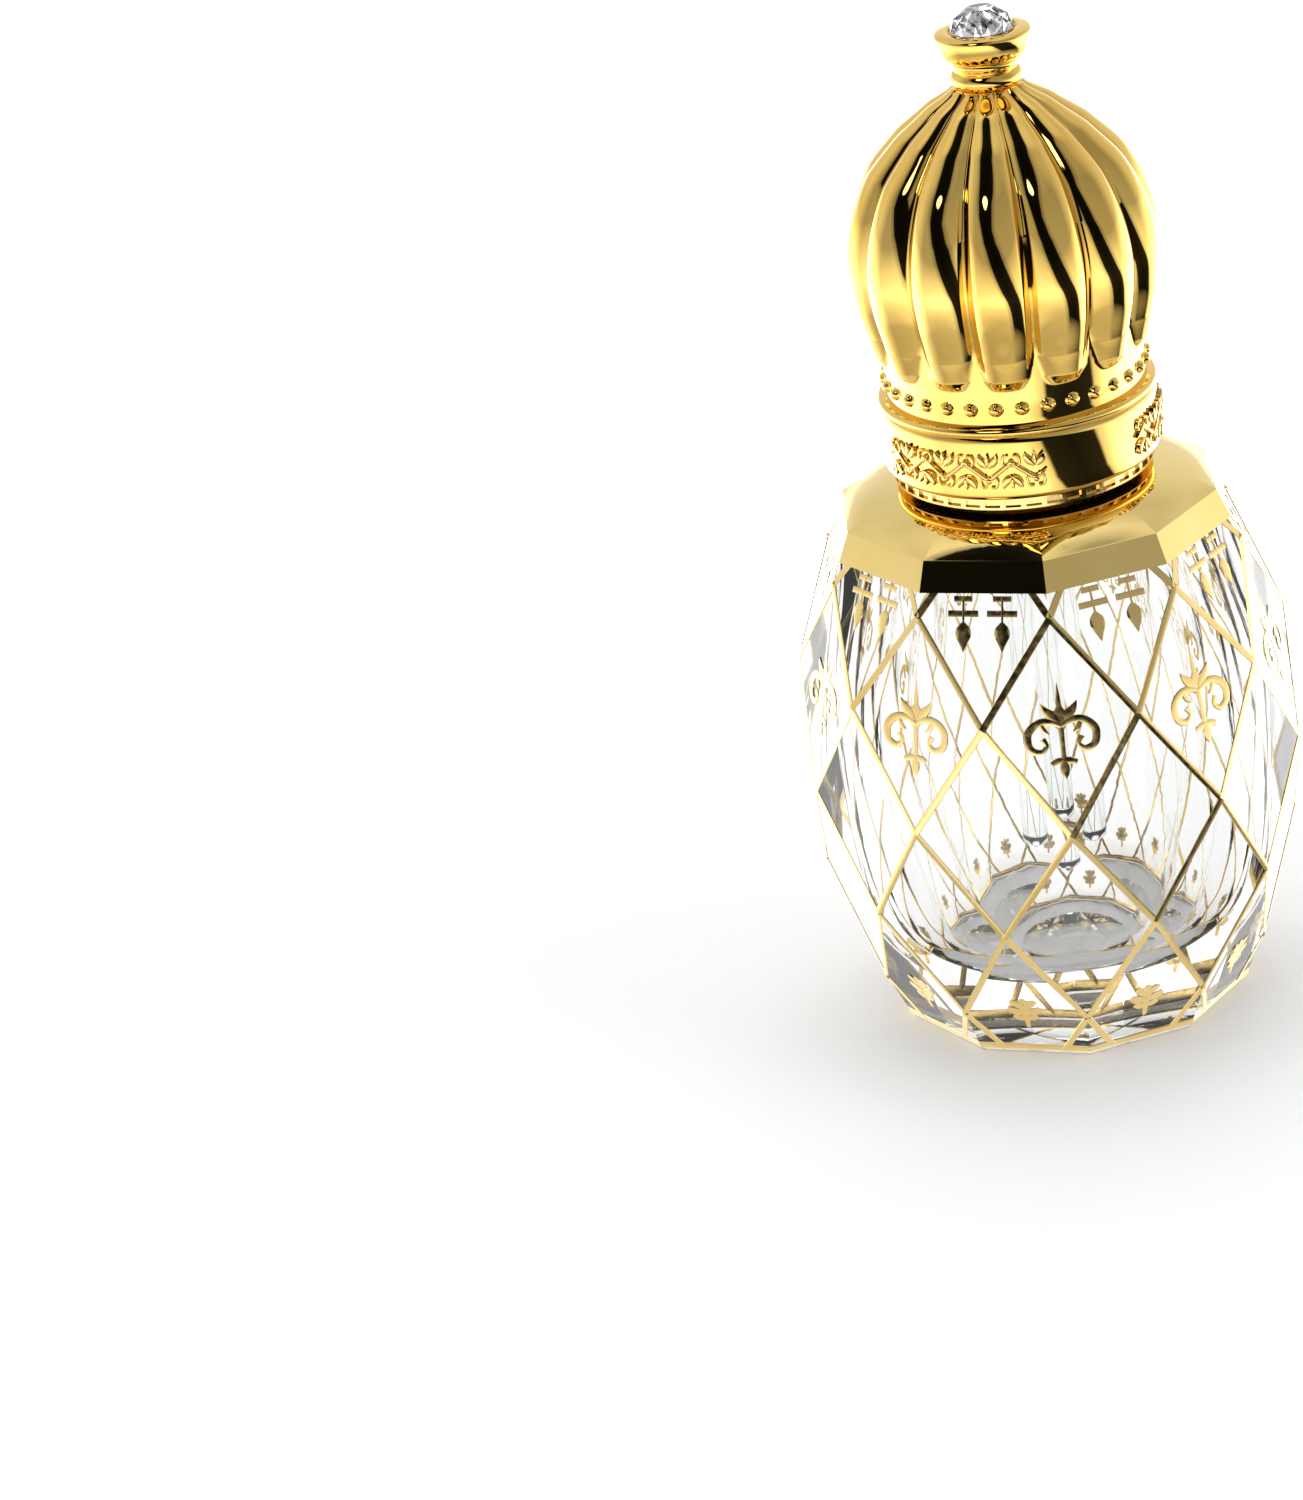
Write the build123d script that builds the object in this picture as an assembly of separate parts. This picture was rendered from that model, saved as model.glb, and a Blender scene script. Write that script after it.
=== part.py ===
from build123d import *
import os
from math import cos, pi, sin

# A small faceted attar bottle with a lobed metal cap and a glass dip stick.
# Millimetres, +Z up, origin at the centre of the flat base.

# ---- glass body: ten-sided, its corners in rows named from the shoulder down ----
SIDES = 10
SIDE_STEP = 2 * pi / SIDES
FLAT = cos(SIDE_STEP / 2)      # radius to a side's middle over radius to its corner
SHOULDER_Z = 34.45
HIGH_ROW_Z = 31.3
UPPER_ROW_Z = 24.95
WAIST_Z = 17.8
LOWER_ROW_Z = 10.6
HEEL_Z = 3.55
FOOT_Z = 0.4
SHOULDER_RADIUS = 12.05
WAIST_RADIUS = 16.2
FOOT_BEVEL = 0.45
SHOULDER_SWELL = [(10.3, 35.32), (8.1, 35.93), (6.3, 36.12)]   # radius and height of its round rings
PUNT_RADIUS = 7.0
PUNT_DEPTH = 0.5

# ---- hollow of the glass ----
FLOOR_Z = 5.4
FLOOR_FLAT_RADIUS = 4.4
HOLLOW_RADIUS = 9.6
MOUTH_RADIUS = 3.6

# ---- neck and its thread ----
NECK_RADIUS = 5.75
NECK_TOP_Z = 44.2
THREAD_PITCH = 2.1
THREAD_DEPTH = 0.7
THREAD_ROOT = 1.3
THREAD_CREST = 0.6
THREAD_START_Z = 38.4
NECK_TURNS = 1.5
CAP_TURNS = 1.25
CAP_RIDGE_LEAD = 0.25          # turns by which the cap's ridge starts later

# ---- plating on the shoulder ----
GILDING = 0.07
GILDING_BOTTOM_Z = 32.7

# ---- cap ----
SKIRT_Z = 36.45
SKIRT_RADIUS = 8.15
SKIRT_RIBS = 40
COLLAR_Z = 37.2
COLLAR_TOP_Z = 41.9
COLLAR_RADIUS = 8.63
COLLAR_INNER_RADIUS = 7.9
CORE_RADIUS = 7.3
CAP_BORE_RADIUS = 6.65
LINER_Z = 44.8
LINER_THICKNESS = 0.6
CORE_TOP_Z = 46.6
SOCKET_RADIUS = 2.7
SOCKET_TOP_Z = 52.2
LOBES = 14
LOBE_STEP = 2 * pi / LOBES
LOBE_PHASE = 0.25 * LOBE_STEP  # turn from -Y to the first groove
BEADS = 32
BEAD_STEP = 2 * pi / BEADS
BEAD_PHASE = 0.9 * BEAD_STEP   # turn from -Y to the first bead
BEAD_RADIUS = 0.42
BEAD_Z = 42.9
SHELL_WALL_RADIUS = 8.1
DOME_TOP_Z = 61.0

# ---- stick, plug and finial ----
STICK_RADIUS = 1.3
STICK_TIP_Z = 9.8
STICK_TOP_Z = 51.0
STICK_CLEARANCE = 0.03
WIPER_RADIUS = 1.45
PLUG_LENGTH = 6.2
PLUG_LIP = 0.5
FINIAL_STEM_RADIUS = 1.2
FINIAL_STEM_Z = 58.9
FINIAL_RADIUS = 2.98
FINIAL_TOP_Z = 64.5
STONE_SIDES = 10
STONE_RADIUS = 2.05
STONE_CROWN_RADIUS = 1.62
STONE_CROWN_Z = 65.25
STONE_TOP_Z = 65.75
STONE_TABLE_RADIUS = 0.85
STONE_CULET_Z = 63.35


def line_at(x0, y0, x1, y1, x):
    """The height at x of the straight line through two points."""
    return y0 + (y1 - y0) * (x - x0) / (x1 - x0)


def flat_facet_rows():
    """Corner rows of the body, with radii that make every facet flat."""
    seat_share = (SHOULDER_Z - HIGH_ROW_Z) / (SHOULDER_Z - UPPER_ROW_Z)
    belt_share = (HIGH_ROW_Z - UPPER_ROW_Z) / (HIGH_ROW_Z - WAIST_Z)
    from_shoulder = (1 - belt_share) * (1 - seat_share) * SHOULDER_RADIUS
    from_waist = belt_share * WAIST_RADIUS
    upper = (from_shoulder + from_waist) / (FLAT - (1 - belt_share) * seat_share / FLAT)
    high = (1 - seat_share) * SHOULDER_RADIUS + seat_share * upper / FLAT
    lower = line_at(UPPER_ROW_Z, upper, WAIST_Z, WAIST_RADIUS * FLAT, LOWER_ROW_Z)
    heel = line_at(WAIST_Z, WAIST_RADIUS, LOWER_ROW_Z, lower * FLAT, HEEL_Z)
    foot = line_at(LOWER_ROW_Z, lower, HEEL_Z, heel * FLAT, FOOT_Z) / FLAT
    return {
        "shoulder": (SHOULDER_RADIUS, SHOULDER_Z, 0),
        "high": (high, HIGH_ROW_Z, 0),
        "upper": (upper, UPPER_ROW_Z, 0.5),
        "waist": (WAIST_RADIUS, WAIST_Z, 0),
        "lower": (lower, LOWER_ROW_Z, 0.5),
        "heel": (heel, HEEL_Z, 0),
        "foot": (foot, FOOT_Z, 0),
        "base": (foot - FOOT_BEVEL, 0, 0),
    }


ROWS = flat_facet_rows()


def around(radius, height, turn):
    """A point at a radius and height; turn 0 faces -Y and turns are counter-clockwise."""
    return Vector(radius * sin(turn), -radius * cos(turn), height)


def corner(row, number):
    radius, height, shift = ROWS[row]
    return around(radius, height, (number + shift) * SIDE_STEP)


def flat_face(points):
    return Face(Wire.make_polygon(points, close=True))


def solid_of(faces):
    return Solid(Shell(faces))


def shoulder_dome(growth=0.0):
    """The swelling top: its edge is the ten-sided corner row and its upper rings are round."""
    rings = []
    for radius, height in [(SHOULDER_RADIUS, SHOULDER_Z)] + SHOULDER_SWELL:
        edges = []
        for k in range(SIDES):
            here, there = k * SIDE_STEP, (k + 1) * SIDE_STEP
            start = around(radius + growth, height + growth, here)
            end = around(radius + growth, height + growth, there)
            if height == SHOULDER_Z:
                edges.append(Line(start, end))
            else:
                middle = around(radius + growth, height + growth, (here + there) / 2)
                edges.append(ThreePointArc(start, middle, end))
        rings.append(Face(Wire(edges)))
    return loft(rings)


def faceted_body():
    """Pentagons under the shoulder, three bands of diamonds, pentagons above the foot."""
    faces = []
    for k in range(SIDES):
        loops = [
            (("shoulder", k), ("shoulder", k + 1), ("high", k + 1), ("upper", k), ("high", k)),
            (("high", k), ("upper", k), ("waist", k), ("upper", k - 1)),
            (("upper", k), ("waist", k + 1), ("lower", k), ("waist", k)),
            (("waist", k), ("lower", k), ("heel", k), ("lower", k - 1)),
            (("lower", k), ("heel", k + 1), ("foot", k + 1), ("foot", k), ("heel", k)),
            (("foot", k), ("foot", k + 1), ("base", k + 1), ("base", k)),
        ]
        faces += [flat_face([corner(row, number) for row, number in loop]) for loop in loops]
    for row in ("shoulder", "base"):
        faces.append(flat_face([corner(row, k) for k in range(SIDES)]))
    return solid_of(faces)


def turned(*edges):
    """A solid of revolution about Z from an outline of (radius, height) points."""
    return revolve(Plane.XZ * make_face(edges), Axis.Z)


def ring(inner, outer, low, high):
    """A plain tube, or a disc when the inner radius is nought."""
    outline = [(inner, low), (outer, low), (outer, high), (inner, high)]
    return turned(Polyline(*outline, close=True))


def thread_ridge(radius, outward, start_z, turns):
    """A right-handed ridge on a wall of the given radius; outward is 1 or -1."""
    buried = radius - outward * 0.15
    crest = radius + outward * THREAD_DEPTH
    outline = Polyline(
        (buried, start_z - THREAD_ROOT / 2),
        (crest, start_z - THREAD_CREST / 2),
        (crest, start_z + THREAD_CREST / 2),
        (buried, start_z + THREAD_ROOT / 2),
        close=True,
    )
    path = Helix(THREAD_PITCH, turns * THREAD_PITCH, radius, center=(0, 0, start_z))
    return sweep(Plane.XZ * make_face(outline), path=path, is_frenet=True)


def hollow():
    """The rounded inside of the bottle, up through the neck's bore."""
    floor = Line((0, FLOOR_Z), (FLOOR_FLAT_RADIUS, FLOOR_Z))
    wall = Spline(
        floor @ 1,
        (HOLLOW_RADIUS - 0.6, 10.4),
        (HOLLOW_RADIUS, WAIST_Z),
        (HOLLOW_RADIUS - 1.0, 26.5),
        (5.9, 32.2),
        (MOUTH_RADIUS, 35.4),
        tangents=[(1, 0), (0, 1)],
    )
    bore = Line(wall @ 1, (MOUTH_RADIUS, NECK_TOP_Z + 1))
    lid = Line(bore @ 1, (0, NECK_TOP_Z + 1))
    axis = Line(lid @ 1, floor @ 0)
    return turned(floor, wall, bore, lid, axis)


def make_glass_bottle():
    neck = ring(0, NECK_RADIUS, SHOULDER_Z, NECK_TOP_Z)
    rim_edges = neck.edges().sort_by(Axis.Z)[-1]
    neck = fillet(rim_edges, 0.5)
    sphere_radius = (PUNT_RADIUS**2 + PUNT_DEPTH**2) / (2 * PUNT_DEPTH)
    punt = Pos(0, 0, PUNT_DEPTH - sphere_radius) * Sphere(sphere_radius)
    bottle = faceted_body() + shoulder_dome() + neck
    bottle += thread_ridge(NECK_RADIUS, 1, THREAD_START_Z, NECK_TURNS)
    return bottle - hollow() - punt


def make_shoulder_gilding():
    """A skin over the swelling shoulder and the band below its edge."""
    high_row_radius = ROWS["high"][0]
    edge_radius = line_at(SHOULDER_Z, SHOULDER_RADIUS, HIGH_ROW_Z, high_row_radius, GILDING_BOTTOM_Z)
    low_radius, high_radius = edge_radius + GILDING, SHOULDER_RADIUS + GILDING
    low_z, high_z = GILDING_BOTTOM_Z, SHOULDER_Z + GILDING
    faces = []
    for k in range(SIDES):
        here, there = k * SIDE_STEP, (k + 1) * SIDE_STEP
        low = [around(low_radius, low_z, here), around(low_radius, low_z, there)]
        high = [around(high_radius, high_z, there), around(high_radius, high_z, here)]
        faces.append(flat_face(low + high))
    for radius, height in ((low_radius, low_z), (high_radius, high_z)):
        faces.append(flat_face([around(radius, height, k * SIDE_STEP) for k in range(SIDES)]))
    skin = solid_of(faces) + shoulder_dome(GILDING)
    neck_room = ring(0, NECK_RADIUS, SHOULDER_Z, NECK_TOP_Z)
    return skin - faceted_body() - shoulder_dome() - neck_room


def make_neck_plug():
    """A soft insert with a lip on the mouth, a funnel and a narrow wiper ring."""
    foot_z = NECK_TOP_Z - PLUG_LENGTH
    wall = 0.8
    outline = Polyline(
        (WIPER_RADIUS, foot_z),
        (MOUTH_RADIUS, foot_z),
        (MOUTH_RADIUS, NECK_TOP_Z),
        (NECK_RADIUS - 0.5, NECK_TOP_Z),
        (NECK_RADIUS - 0.5, NECK_TOP_Z + PLUG_LIP),
        (MOUTH_RADIUS - wall, NECK_TOP_Z + PLUG_LIP),
        (MOUTH_RADIUS - wall, foot_z + 2.6),
        (WIPER_RADIUS, foot_z + 1.0),
        close=True,
    )
    return turned(outline)


def make_applicator_rod():
    """A straight glass stick with a round tip."""
    side = Line((STICK_RADIUS, STICK_TIP_Z + STICK_RADIUS), (STICK_RADIUS, STICK_TOP_Z))
    top = Line(side @ 1, (0, STICK_TOP_Z))
    axis = Line(top @ 1, (0, STICK_TIP_Z))
    tip = RadiusArc(axis @ 1, side @ 0, STICK_RADIUS)
    return turned(side, top, axis, tip)


def make_seal_liner():
    return ring(STICK_RADIUS + 0.3, CAP_BORE_RADIUS, LINER_Z, LINER_Z + LINER_THICKNESS)


def make_inner_cap():
    """The threaded liner: a ribbed skirt, a plain core and a socket for the stick."""
    ceiling = LINER_Z + LINER_THICKNESS
    outline = Polyline(
        (0, SKIRT_Z),
        (SKIRT_RADIUS, SKIRT_Z),
        (SKIRT_RADIUS, COLLAR_Z),
        (COLLAR_INNER_RADIUS, COLLAR_Z),
        (COLLAR_INNER_RADIUS, COLLAR_TOP_Z),
        (CORE_RADIUS, COLLAR_TOP_Z),
        (CORE_RADIUS, CORE_TOP_Z),
        (SOCKET_RADIUS, CORE_TOP_Z),
        (SOCKET_RADIUS, SOCKET_TOP_Z),
        (0, SOCKET_TOP_Z),
        close=True,
    )
    cap = turned(outline)
    cap -= ring(0, CAP_BORE_RADIUS, SKIRT_Z - 1, ceiling)
    cap -= ring(0, STICK_RADIUS + STICK_CLEARANCE, ceiling - 1, STICK_TOP_Z + STICK_CLEARANCE)
    ridge_z = THREAD_START_Z + (CAP_RIDGE_LEAD - 0.5) * THREAD_PITCH
    ridge = thread_ridge(CAP_BORE_RADIUS, -1, ridge_z, CAP_TURNS)
    cap += Rot(0, 0, 360 * CAP_RIDGE_LEAD) * ridge
    notch_height = COLLAR_Z - SKIRT_Z - 0.3
    notch = Pos(SKIRT_RADIUS, 0, SKIRT_Z + 0.15 + notch_height / 2) * Box(0.4, 0.95, notch_height)
    return cap - [Rot(0, 0, 360 * k / SKIRT_RIBS) * notch for k in range(SKIRT_RIBS)]


def lobed_section(height, crest, depth):
    """A closed outline of convex lobes that meet in sharp grooves."""
    groove = crest - depth
    arcs = []
    for k in range(LOBES):
        turn = LOBE_PHASE + k * LOBE_STEP
        start = around(groove, height, turn)
        middle = around(crest, height, turn + LOBE_STEP / 2)
        end = around(groove, height, turn + LOBE_STEP)
        arcs.append(ThreePointArc(start, middle, end))
    return Face(Wire(arcs))


def make_cap_shell():
    """The lobed dome on a short plain wall with a row of beads."""
    sections = [
        (43.5, 7.75, 1.3),
        (44.6, 8.4, 1.2),
        (46.2, 8.95, 1.05),
        (48.6, 9.55, 1.0),
        (51.2, 9.75, 1.0),
        (53.7, 9.2, 0.95),
        (56.2, 8.0, 0.85),
        (58.4, 5.95, 0.65),
        (60.0, 3.85, 0.45),
        (DOME_TOP_Z, 2.25, 0.3),
    ]
    dome = loft([lobed_section(*section) for section in sections])
    wall = ring(0, SHELL_WALL_RADIUS, COLLAR_TOP_Z, 47.0)
    beads = []
    for k in range(BEADS):
        centre = around(SHELL_WALL_RADIUS, BEAD_Z, BEAD_PHASE + k * BEAD_STEP)
        beads.append(Pos(centre) * Sphere(BEAD_RADIUS))
    side = Line((CORE_RADIUS, COLLAR_TOP_Z - 1), (CORE_RADIUS, 47.0))
    vault = Spline(
        side @ 1,
        (7.6, 51.2),
        (6.0, 56.0),
        (3.4, 59.0),
        (0, 59.7),
        tangents=[(0, 1), (-1, 0)],
    )
    axis = Line(vault @ 1, (0, COLLAR_TOP_Z - 1))
    inside = turned(side, vault, axis, Line(axis @ 1, side @ 0))
    stem_hole = ring(0, FINIAL_STEM_RADIUS, 58, DOME_TOP_Z + 1)
    return dome + wall + beads - inside - stem_hole


def make_collar_band():
    """A band with a rolled bead at its top and a rounded lower lip."""
    lip = 0.35
    roll = 0.3
    groove_z = COLLAR_TOP_Z - 2 * roll
    inner = Line((COLLAR_INNER_RADIUS, COLLAR_TOP_Z), (COLLAR_INNER_RADIUS, COLLAR_Z))
    under = Line(inner @ 1, (COLLAR_RADIUS - lip, COLLAR_Z))
    curl = RadiusArc(under @ 1, (COLLAR_RADIUS, COLLAR_Z + lip), -lip)
    side = Line(curl @ 1, (COLLAR_RADIUS, groove_z - 0.15))
    step = Line(side @ 1, (COLLAR_RADIUS - 0.15, groove_z))
    bead = ThreePointArc(
        step @ 1,
        (COLLAR_RADIUS + 0.12, COLLAR_TOP_Z - roll),
        (COLLAR_RADIUS - 0.15, COLLAR_TOP_Z),
    )
    return turned(inner, under, curl, side, step, bead, Line(bead @ 1, inner @ 0))


def make_finial():
    """A turned cup on a drum-shaped foot, with a seat for the stone and a stem below."""
    seat = STONE_RADIUS + 0.05
    stem = Polyline(
        (0, STONE_CULET_Z - 0.3),
        (0, FINIAL_STEM_Z),
        (FINIAL_STEM_RADIUS, FINIAL_STEM_Z),
        (FINIAL_STEM_RADIUS, DOME_TOP_Z),
        (2.0, DOME_TOP_Z),
    )
    foot = ThreePointArc(stem @ 1, (2.22, DOME_TOP_Z + 0.45), (2.0, DOME_TOP_Z + 0.9))
    waist = Line(foot @ 1, (2.0, DOME_TOP_Z + 1.1))
    neck_ring = ThreePointArc(waist @ 1, (2.13, DOME_TOP_Z + 1.35), (2.05, DOME_TOP_Z + 1.6))
    bowl = Spline(
        neck_ring @ 1,
        (2.7, DOME_TOP_Z + 2.1),
        (FINIAL_RADIUS, FINIAL_TOP_Z - 0.6),
        tangents=[(1, 0.3), (0, 1)],
    )
    lip = ThreePointArc(bowl @ 1, (FINIAL_RADIUS - 0.04, FINIAL_TOP_Z - 0.25), (2.8, FINIAL_TOP_Z - 0.08))
    seat_line = Polyline(
        lip @ 1,
        (seat, FINIAL_TOP_Z),
        (seat, FINIAL_TOP_Z - 0.35),
        (0, STONE_CULET_Z - 0.3),
    )
    return turned(stem, foot, waist, neck_ring, bowl, lip, seat_line)


def stone_row(radius, height, shift):
    """A ring of the stone's corners, turned by a number of half steps."""
    half = pi / STONE_SIDES
    return [around(radius, height, (2 * k + shift) * half) for k in range(STONE_SIDES)]


def make_rhinestone():
    """A round-cut stone: a flat table, two rings of crown facets and a pointed back."""
    table = stone_row(STONE_TABLE_RADIUS, STONE_TOP_Z, 0)
    crown = stone_row(STONE_CROWN_RADIUS, STONE_CROWN_Z, 1)
    girdle = stone_row(STONE_RADIUS, FINIAL_TOP_Z, 2)
    culet = Vector(0, 0, STONE_CULET_Z)
    faces = [flat_face(table)]
    for k in range(STONE_SIDES):
        after = (k + 1) % STONE_SIDES
        faces.append(flat_face([table[k], crown[k], table[after]]))
        faces.append(flat_face([table[after], crown[k], crown[after]]))
        faces.append(flat_face([crown[k], girdle[k], crown[after]]))
        faces.append(flat_face([crown[after], girdle[k], girdle[after]]))
        faces.append(flat_face([girdle[k], culet, girdle[after]]))
    return solid_of(faces)


def main():
    os.makedirs("parts", exist_ok=True)
    nodes = {
        "glass_bottle": make_glass_bottle(),
        "shoulder_gilding": make_shoulder_gilding(),
        "neck_plug": make_neck_plug(),
        "applicator_rod": make_applicator_rod(),
        "seal_liner": make_seal_liner(),
        "inner_cap": make_inner_cap(),
        "cap_shell": make_cap_shell(),
        "collar_band": make_collar_band(),
        "finial": make_finial(),
        "rhinestone": make_rhinestone(),
    }
    for name, shape in nodes.items():
        export_step(shape, f"parts/{name}.step")


main()
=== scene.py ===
from math import cos, pi, radians, sin, sqrt

import bmesh
import bpy
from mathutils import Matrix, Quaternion, Vector, noise


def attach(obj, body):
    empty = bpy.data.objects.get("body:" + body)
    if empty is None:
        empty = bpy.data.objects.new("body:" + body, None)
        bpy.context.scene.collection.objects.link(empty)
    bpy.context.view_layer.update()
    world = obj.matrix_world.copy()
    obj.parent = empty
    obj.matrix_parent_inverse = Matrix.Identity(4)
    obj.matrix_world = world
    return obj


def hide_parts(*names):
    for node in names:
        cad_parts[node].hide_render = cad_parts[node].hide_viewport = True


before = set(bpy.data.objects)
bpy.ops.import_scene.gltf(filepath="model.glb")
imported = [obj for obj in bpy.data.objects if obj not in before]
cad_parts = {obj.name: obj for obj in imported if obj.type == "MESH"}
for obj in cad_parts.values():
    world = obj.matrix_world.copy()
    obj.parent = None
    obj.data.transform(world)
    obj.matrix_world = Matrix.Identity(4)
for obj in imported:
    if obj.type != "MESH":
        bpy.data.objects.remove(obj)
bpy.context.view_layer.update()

# Lengths below are millimetres; new_piece() turns them into metres.
MM = 0.001

# ---- the glass, as in the CAD: corner rows from the shoulder down ----
SIDES = 10
SIDE_STEP = 2 * pi / SIDES
FLAT = cos(SIDE_STEP / 2)
SHOULDER_Z = 34.45
HIGH_Z = 31.3
UPPER_Z = 24.95
WAIST_Z = 17.8
LOWER_Z = 10.6
HEEL_Z = 3.55
FOOT_Z = 0.4
SHOULDER_RADIUS = 12.05
WAIST_RADIUS = 16.2
FOOT_BEVEL = 0.45
GILDING_BOTTOM_Z = 32.7

# ---- cap ----
LOBES = 14
LOBE_PHASE = 0.25 * 2 * pi / LOBES
BEADS = 32
BEAD_PHASE = 0.9 * 2 * pi / BEADS
BEAD_RADIUS = 0.37
BEAD_Z = 42.95
WALL_RADIUS = 8.1
CORE_RADIUS = 7.3
COLLAR_Z = 37.2
COLLAR_TOP_Z = 41.9
COLLAR_RADIUS = 8.63
COLLAR_INNER_RADIUS = 7.9
DOME_TOP_Z = 61.0
GIRDLE_Z = 64.48               # the stone is foiled below this
# crest height, crest radius and groove depth of the dome's lobes
DOME_KNOTS = [
    (43.95, 7.6, 1.6),
    (44.25, 8.25, 1.6),
    (44.8, 8.62, 1.45),
    (46.2, 9.02, 1.25),
    (48.6, 9.57, 1.15),
    (51.0, 9.75, 1.15),
    (53.7, 9.2, 1.1),
    (56.2, 8.0, 0.98),
    (58.4, 5.95, 0.76),
    (60.0, 3.85, 0.52),
    (61.0, 2.25, 0.3),
]

# ---- paint ----
LINE_WIDTH = 0.45
RIM_WIDTH = 1.05
PAINT = 0.035                  # thickness of the fired gold
SINK = 0.012                   # how far a painted shape reaches into the glass


# ======================= geometry helpers =======================

def around(radius, height, turn):
    """A point at a radius and height; turn 0 faces -Y and turns are counter-clockwise."""
    return Vector((radius * sin(turn), -radius * cos(turn), height))


def line_at(x0, y0, x1, y1, x):
    return y0 + (y1 - y0) * (x - x0) / (x1 - x0)


def catmull(values, t):
    """A smooth curve through evenly numbered values, each a tuple, at t from 0 to the last."""
    last = len(values) - 1
    i = min(int(t), last - 1)
    f = t - i
    a, b, c, d = (values[max(0, min(last, j))] for j in (i - 1, i, i + 1, i + 2))
    return tuple(
        0.5 * (2 * q + (r - p) * f + (2 * p - 5 * q + 4 * r - s) * f * f
               + (3 * q - p - 3 * r + s) * f * f * f)
        for p, q, r, s in zip(a, b, c, d)
    )


class Stock:
    """Points and faces of one piece, in millimetres."""

    def __init__(self):
        self.points = []
        self.faces = []

    def tube(self, rings, closed=False):
        """Joins closed loops of equally many points; caps the ends unless they meet."""
        start = len(self.points)
        count = len(rings[0])
        for ring in rings:
            self.points += ring
        pairs = len(rings) if closed else len(rings) - 1
        for i in range(pairs):
            here = start + i * count
            there = start + (i + 1) % len(rings) * count
            for j in range(count):
                after = (j + 1) % count
                self.faces.append((here + j, here + after, there + after, there + j))
        if not closed:
            end = start + (len(rings) - 1) * count
            self.faces.append(tuple(range(start + count - 1, start - 1, -1)))
            self.faces.append(tuple(range(end, end + count)))

    def lathe(self, profile, steps=240):
        """Turns a closed outline of (radius, height) points about Z."""
        sections = []
        for k in range(steps):
            sections.append([around(r, z, 2 * pi * k / steps) for r, z in profile])
        self.tube(sections, closed=True)


def new_piece(name, stock, body, material, sharp=40):
    mesh = bpy.data.meshes.new(name)
    mesh.from_pydata([tuple(MM * c for c in point) for point in stock.points], [], stock.faces)
    work = bmesh.new()
    work.from_mesh(mesh)
    bmesh.ops.recalc_face_normals(work, faces=work.faces)
    work.to_mesh(mesh)
    work.free()
    mesh.shade_smooth()
    mesh.set_sharp_from_angle(angle=radians(sharp))
    mesh.materials.append(material)
    piece = bpy.data.objects.new(name, mesh)
    bpy.context.scene.collection.objects.link(piece)
    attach(piece, body)
    return piece


# ======================= materials =======================

def node_material(name):
    material = bpy.data.materials.new(name)
    material.use_nodes = True
    tree = material.node_tree
    shader = tree.nodes["Principled BSDF"]
    place = tree.nodes.new("ShaderNodeTexCoord")
    return material, tree, shader, place.outputs["Object"]


def noise_of(tree, place, scale, detail=3.0, rough=0.5):
    texture = tree.nodes.new("ShaderNodeTexNoise")
    texture.inputs["Scale"].default_value = scale
    texture.inputs["Detail"].default_value = detail
    texture.inputs["Roughness"].default_value = rough
    tree.links.new(place, texture.inputs["Vector"])
    return texture.outputs["Fac"]


def ramp_of(tree, value, stops):
    """A colour ramp; stops are (position, colour) pairs."""
    ramp = tree.nodes.new("ShaderNodeValToRGB")
    elements = ramp.color_ramp.elements
    while len(elements) < len(stops):
        elements.new(0.5)
    for element, (position, colour) in zip(elements, stops):
        element.position = position
        element.color = (*colour, 1)
    tree.links.new(value, ramp.inputs["Fac"])
    return ramp.outputs["Color"]


def range_of(tree, value, low, high, from_low=0.0, from_high=1.0):
    mapped = tree.nodes.new("ShaderNodeMapRange")
    mapped.inputs["From Min"].default_value = from_low
    mapped.inputs["From Max"].default_value = from_high
    mapped.inputs["To Min"].default_value = low
    mapped.inputs["To Max"].default_value = high
    tree.links.new(value, mapped.inputs["Value"])
    return mapped.outputs["Result"]


def bump_of(tree, value, distance, strength, base=None):
    bump = tree.nodes.new("ShaderNodeBump")
    bump.inputs["Strength"].default_value = strength
    bump.inputs["Distance"].default_value = distance * MM
    tree.links.new(value, bump.inputs["Height"])
    if base is not None:
        tree.links.new(base, bump.inputs["Normal"])
    return bump.outputs["Normal"]


def gold(name, pale, deep, roughness, wave, grain):
    """Plated gold: colour drifts between two tones; wave and grain are bump depths in mm."""
    material, tree, shader, place = node_material(name)
    drift = noise_of(tree, place, 180)
    tree.links.new(ramp_of(tree, drift, [(0.3, deep), (0.7, pale)]), shader.inputs["Base Color"])
    fine = noise_of(tree, place, 2600, detail=4)
    low, high = roughness
    tree.links.new(range_of(tree, fine, low, high, 0.3, 0.7), shader.inputs["Roughness"])
    broad = bump_of(tree, noise_of(tree, place, 420, detail=1), wave, 0.5)
    tree.links.new(bump_of(tree, fine, grain, 0.35, broad), shader.inputs["Normal"])
    shader.inputs["Metallic"].default_value = 1.0
    return material


def clear_glass(name, tint, wave):
    """Polished glass with the faint waves of a pressed wall."""
    material, tree, shader, place = node_material(name)
    drift = noise_of(tree, place, 90, detail=1)
    tree.links.new(ramp_of(tree, drift, [(0.3, tint), (0.7, (1, 1, 1))]), shader.inputs["Base Color"])
    broad = bump_of(tree, noise_of(tree, place, 210, detail=1), wave, 0.6)
    tree.links.new(broad, shader.inputs["Normal"])
    shader.inputs["Transmission Weight"].default_value = 1.0
    shader.inputs["Roughness"].default_value = 0.0
    shader.inputs["IOR"].default_value = 1.5
    return material


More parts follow.
